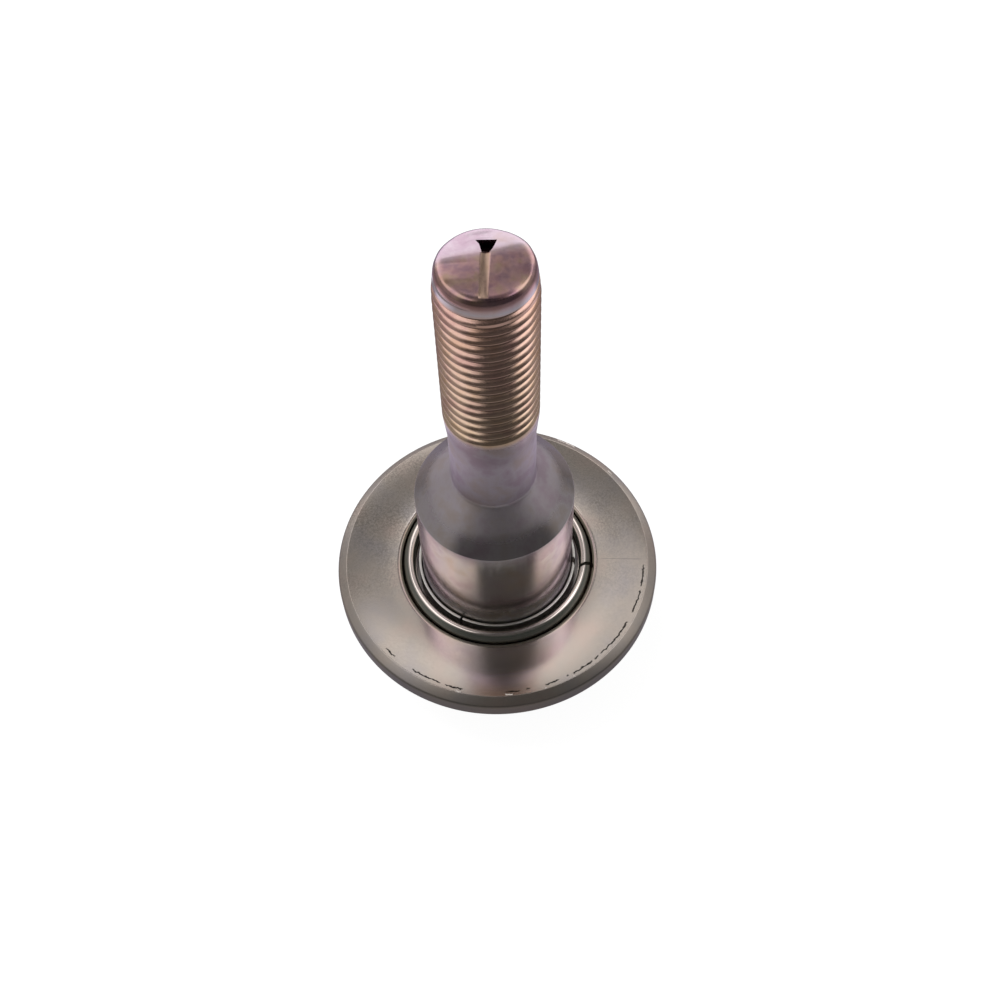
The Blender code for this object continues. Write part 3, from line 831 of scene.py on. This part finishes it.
def bright_wire():
    """Drawn spring wire: its crest is painted pale as a highlight and kept glossy; its sides are painted darker
    as shade, dull, with fine drawn lines."""
    material, tree, shader = metal("bright_ring_wire", 0.2, "FFFFFF")
    place = add(tree, "TexCoord").outputs["Object"]
    parts = add(tree, "SeparateXYZ", {0: place})
    radius = from_axis(tree, place)
    section = add(tree, "CombineXYZ", {0: radius, 2: parts.outputs["Z"]}).outputs[0]
    lines = add(tree, "TexNoise", {"Vector": section, "Scale": 1 / (0.22 * MM), "Detail": 1.0})
    shade = add(tree, "ValToRGB", {0: lines.outputs["Fac"]}, stops=[(0.4, "70766E"), (0.6, "94948C")])
    # Painted highlight and shade: the ring's crest is painted pale, its sides darker.
    highlight_from, highlight_to = RING_TOP_Z - 2 * RING_HIGHLIGHT_DEPTH, RING_TOP_Z - RING_HIGHLIGHT_DEPTH
    crest_highlight = add(tree, "MapRange", {0: parts.outputs["Z"], 1: highlight_from, 2: highlight_to}).outputs[0]
    base = add(tree, "Mix", {0: crest_highlight, 6: shade.outputs[0], 7: colour("F4E6DE")}, data_type="RGBA")
    tree.links.new(base.outputs[2], shader.inputs["Base Color"])
    rough = add(tree, "Mix", {0: crest_highlight, 2: 0.4, 3: 0.14}, data_type="FLOAT")
    tree.links.new(rough.outputs[0], shader.inputs["Roughness"])
    return material


# Studio: a pale floor, a soft lamp and a cloth tent with a dark opening for the camera
WORLD_FILL = 0.7
LAMP_SIZE = 0.5
LAMP_POWER = 3.0
LAMP_PLACE = (-0.25, 0.2, 0.6)
FLOOR_SIZE = 0.7
FLOOR_SHADE = "6C6C6C"
FLOOR_GLOW = 0.92
FLOOR_REACH = 160 * MM
TENT_RADIUS = 0.6
CAMERA_PLACE = Vector((0.0, -0.09579, DISC_TOP_Z + 0.17295))
CAMERA_YAW = math.radians(0.431)
CAMERA_PITCH = math.radians(58.634)
CAMERA_ROLL = math.radians(-1.972)
CAMERA_LENS = 48.895
CAMERA_CLIP_START = 0.005

# The tent's level, and its panels in degrees: azimuth, half width and softness; elevation from,
# to and softness; level
TENT_LEVEL = 0.36
TENT_PANELS = [
    ((-155.0, 38.0, 10.0), (34.0, 60.0, 8.0), 1.15),
    ((-205.0, 14.0, 14.0), (34.0, 60.0, 8.0), 1.3),
    ((-8.0, 30.0, 24.0), (32.0, 60.0, 8.0), 1.6),
    ((38.0, 18.0, 14.0), (32.0, 60.0, 8.0), 1.5),
    ((-188.0, 40.0, 45.0), (57.0, 69.0, 5.0), 1.35),
    ((36.0, 34.0, 50.0), (57.0, 69.0, 5.0), 1.7),
    ((90.0, 60.0, 6.0), (36.0, 62.5, 3.0), 0.19),
    ((122.0, 32.0, 12.0), (30.0, 53.0, 6.0), 1.1),
    ((56.0, 32.0, 12.0), (30.0, 47.0, 5.0), 0.8),
    ((90.0, 50.0, 8.0), (0.0, 38.0, 6.0), 1.2),
    ((-90.0, 180.0, 0.1), (69.0, 95.0, 4.0), 0.22),
    ((100.0, 14.0, 1.5), (64.0, 71.0, 1.5), 0.9),
    ((80.0, 14.0, 1.5), (61.6, 71.0, 1.5), 0.9),
    ((67.5, 11.0, 1.5), (59.5, 71.0, 1.5), 0.65),
    ((-80.0, 62.0, 20.0), (-20.0, 44.0, 8.0), 0.09),
    ((-77.0, 42.0, 12.0), (38.0, 92.0, 8.0), 0.03),
    ((-77.0, 42.0, 12.0), (58.0, 64.5, 3.0), 0.16),
    ((-77.0, 42.0, 12.0), (43.0, 51.0, 4.0), 0.08),
]


def background_share(tree):
    """1 for rays that see the background: from the camera, in a reflection or through glass."""
    path = add(tree, "LightPath")
    seen = add(
        tree, "Math", {0: path.outputs["Is Camera Ray"], 1: path.outputs["Is Glossy Ray"]},
        operation="MAXIMUM",
    )
    return add(
        tree, "Math", {0: seen.outputs[0], 1: path.outputs["Is Transmission Ray"]}, operation="MAXIMUM"
    ).outputs[0]


def make_world():
    world = bpy.data.worlds.new("studio")
    bpy.context.scene.world = world
    world.use_nodes = True
    tree = world.node_tree
    share = background_share(tree)
    level = add(tree, "MapRange", {0: share, 1: 0.0, 2: 1.0, 3: WORLD_FILL, 4: 1.0})
    tree.links.new(level.outputs[0], tree.nodes["Background"].inputs["Strength"])
    tree.nodes["Background"].inputs["Color"].default_value = (1.0, 1.0, 1.0, 1.0)


def make_floor():
    """White for the camera; in reflections, grey in bands by distance, with painted shadow close to the object,
    behind it and towards the front.
    """
    deselect()
    bpy.ops.mesh.primitive_plane_add(size=FLOOR_SIZE)
    floor = bpy.context.object
    floor.name = "floor"
    material = bpy.data.materials.new("white_paper")
    material.use_nodes = True
    tree = material.node_tree
    shader = tree.nodes["Principled BSDF"]
    shader.inputs["Base Color"].default_value = colour(FLOOR_SHADE)
    shader.inputs["Roughness"].default_value = 1.0
    shader.inputs["Specular IOR Level"].default_value = 0.0
    shader.inputs["Emission Color"].default_value = (1.0, 1.0, 1.0, 1.0)
    place = add(tree, "TexCoord").outputs["Object"]
    distance = add(tree, "VectorMath", {0: place}, operation="LENGTH").outputs["Value"]
    deep = add(tree, "SeparateXYZ", {0: place}).outputs["Y"]
    reach = add(tree, "Math", {0: distance, 1: FLOOR_REACH}, operation="DIVIDE").outputs[0]
    # Painted shadow: in reflections the floor is darker close to the object, then grey in bands by distance.
    shade = add(
        tree, "ValToRGB", {0: reach},
        stops=[
            (0.18, "9E9E9E"), (0.22, "D2D2D2"), (0.26, "D2D2D2"), (0.32, "7C7C7C"), (0.37, "7C7C7C"),
            (0.41, "D8D8D8"), (0.85, "D8D8D8"), (0.95, "6A6A6A"),
        ],
    )
    # Painted shadow: in reflections the floor is darker behind the object and towards the front.
    rear = add(tree, "MapRange", {0: deep, 1: 35 * MM, 2: 50 * MM, 3: 1.0, 4: 0.25}).outputs[0]
    front = add(tree, "MapRange", {0: deep, 1: -45 * MM, 2: 15 * MM, 3: 0.3, 4: 1.0})
    nearer = add(tree, "Math", {0: shade.outputs[0], 1: front.outputs[0]}, operation="MULTIPLY").outputs[0]
    mirrored = add(tree, "Math", {0: nearer, 1: rear}, operation="MULTIPLY").outputs[0]
    camera = add(tree, "LightPath").outputs["Is Camera Ray"]
    level = add(tree, "Mix", {0: camera, 2: mirrored, 3: FLOOR_GLOW}, data_type="FLOAT").outputs[0]
    glow = add(tree, "Math", {0: background_share(tree), 1: level}, operation="MULTIPLY")
    tree.links.new(glow.outputs[0], shader.inputs["Emission Strength"])
    floor.data.materials.append(material)


def make_tent():
    """A cloth tent that only reflections see: grey all round, with paler and darker panels."""
    deselect()
    bpy.ops.mesh.primitive_uv_sphere_add(segments=48, ring_count=24, radius=TENT_RADIUS)
    tent = bpy.context.object
    tent.name = "tent"
    material = bpy.data.materials.new("tent_cloth")
    material.use_nodes = True
    tree = material.node_tree
    tree.nodes.clear()
    place = add(tree, "TexCoord").outputs["Object"]
    way = add(tree, "VectorMath", {0: place}, operation="NORMALIZE").outputs[0]
    height = add(tree, "SeparateXYZ", {0: way}).outputs["Z"]
    climb = add(tree, "Math", {0: height}, operation="ARCSINE").outputs[0]
    elevation = add(tree, "Math", {0: climb}, operation="DEGREES").outputs[0]
    level = TENT_LEVEL
    for (azimuth, half_width, side_softness), (low, high, softness), panel_level in TENT_PANELS:
        turned_way = add(
            tree, "VectorRotate", {"Vector": way, "Angle": math.radians(-azimuth)}, rotation_type="Z_AXIS"
        ).outputs[0]
        across = soft_window(tree, bearing_of(tree, turned_way), -half_width, half_width, side_softness)
        up = soft_window(tree, elevation, low, high, softness)
        share = add(tree, "Math", {0: across, 1: up}, operation="MULTIPLY").outputs[0]
        level = add(tree, "Mix", {0: share, 2: level, 3: panel_level}, data_type="FLOAT").outputs[0]
    glow = add(tree, "Emission", {"Strength": level})
    back = add(tree, "OutputMaterial", {0: glow.outputs[0]})
    tent.data.materials.append(material)
    tent.visible_camera = False
    tent.visible_diffuse = False
    tent.visible_transmission = False
    tent.visible_volume_scatter = False
    tent.visible_shadow = False


def make_lamp():
    data = bpy.data.lights.new("soft_lamp", "AREA")
    data.shape = "DISK"
    data.size = LAMP_SIZE
    data.energy = LAMP_POWER
    lamp = bpy.data.objects.new("soft_lamp", data)
    bpy.context.scene.collection.objects.link(lamp)
    lamp.location = LAMP_PLACE
    lamp.rotation_euler = Vector(lamp.location).to_track_quat("Z", "Y").to_euler()
    lamp.visible_glossy = False


def make_camera():
    data = bpy.data.cameras.new("camera")
    data.lens = CAMERA_LENS
    camera = bpy.data.objects.new("camera", data)
    bpy.context.scene.collection.objects.link(camera)
    turn = Matrix.Rotation(-CAMERA_YAW, 4, "Z") @ Matrix.Rotation(math.pi / 2 - CAMERA_PITCH, 4, "X")
    camera.matrix_world = Matrix.Translation(CAMERA_PLACE) @ turn @ Matrix.Rotation(CAMERA_ROLL, 4, "Z")
    data.clip_start = CAMERA_CLIP_START
    bpy.context.scene.camera = camera


def place_piece(obj, material, body, node):
    obj.data.materials.clear()
    obj.data.materials.append(material)
    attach(obj, body)
    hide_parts(node)


def main():
    place_piece(bolt_piece(), passivated_bolt(), "bolt", "bolt")
    place_piece(disc_piece(), passivated_disc(), "disc", "captive_disc")
    place_piece(bush_piece(), bright_strip(), "bolt", "split_bush")
    place_piece(ring_piece(), bright_wire(), "bolt", "lock_ring")
    make_world()
    make_floor()
    make_tent()
    make_lamp()
    make_camera()
    bpy.context.scene.view_settings.view_transform = "Standard"


main()
